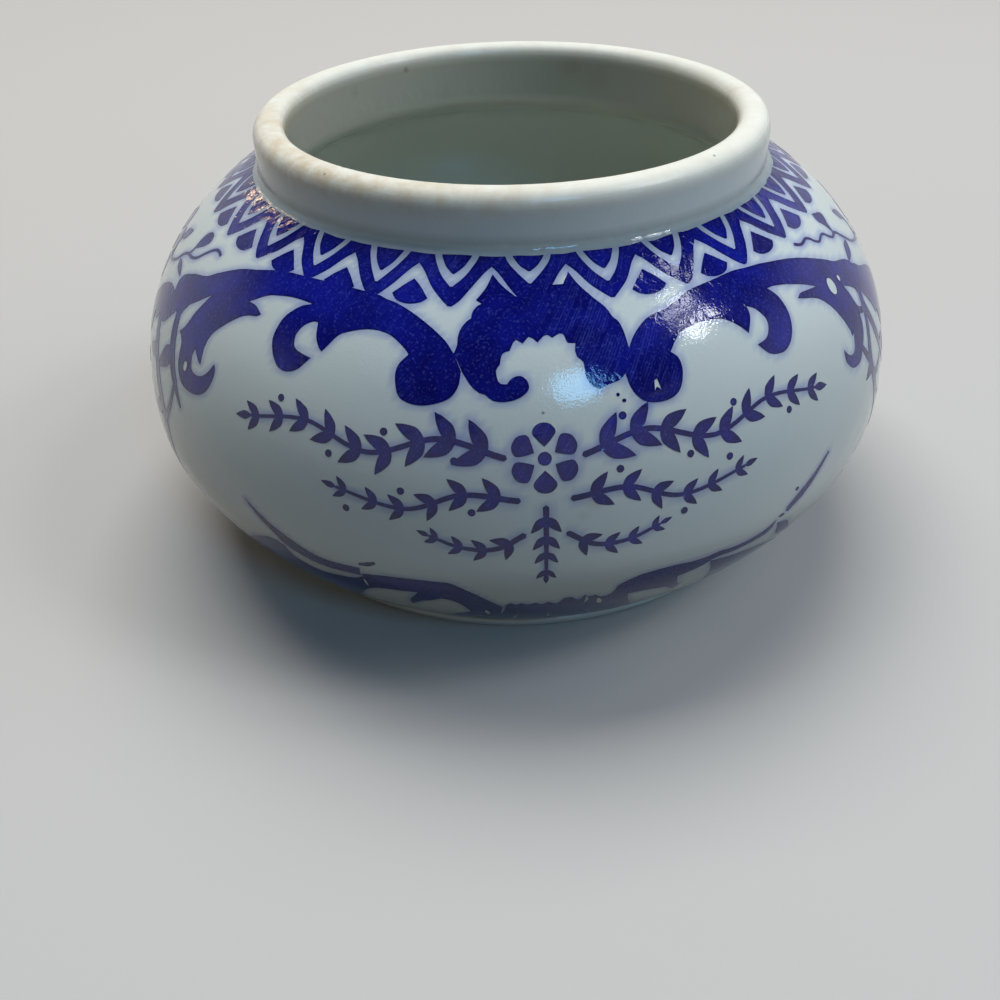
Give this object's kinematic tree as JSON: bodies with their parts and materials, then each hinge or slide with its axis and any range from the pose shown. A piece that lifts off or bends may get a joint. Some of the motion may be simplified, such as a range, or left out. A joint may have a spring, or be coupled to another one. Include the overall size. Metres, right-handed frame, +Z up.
{
  "type": "cold cream pot",
  "caption": "Squat round glazed ceramic pot with a bulging belly, a plain upright collar round a wide open mouth, and a low foot ring.",
  "frame": {"origin": "centre of the foot ring, on the surface that the pot stands on", "axes": "+Z up along the pot's axis of revolution; -Y towards the middle of the printed front"},
  "size_m": [0.076, 0.076, 0.0405],
  "materials": {
    "glazed_whiteware": "gloss",
    "cobalt_print": "gloss",
    "bare_foot": "matte"
  },
  "bodies": {
    "root": {"pot_body": "glazed_whiteware"}
  },
  "joints": []
}
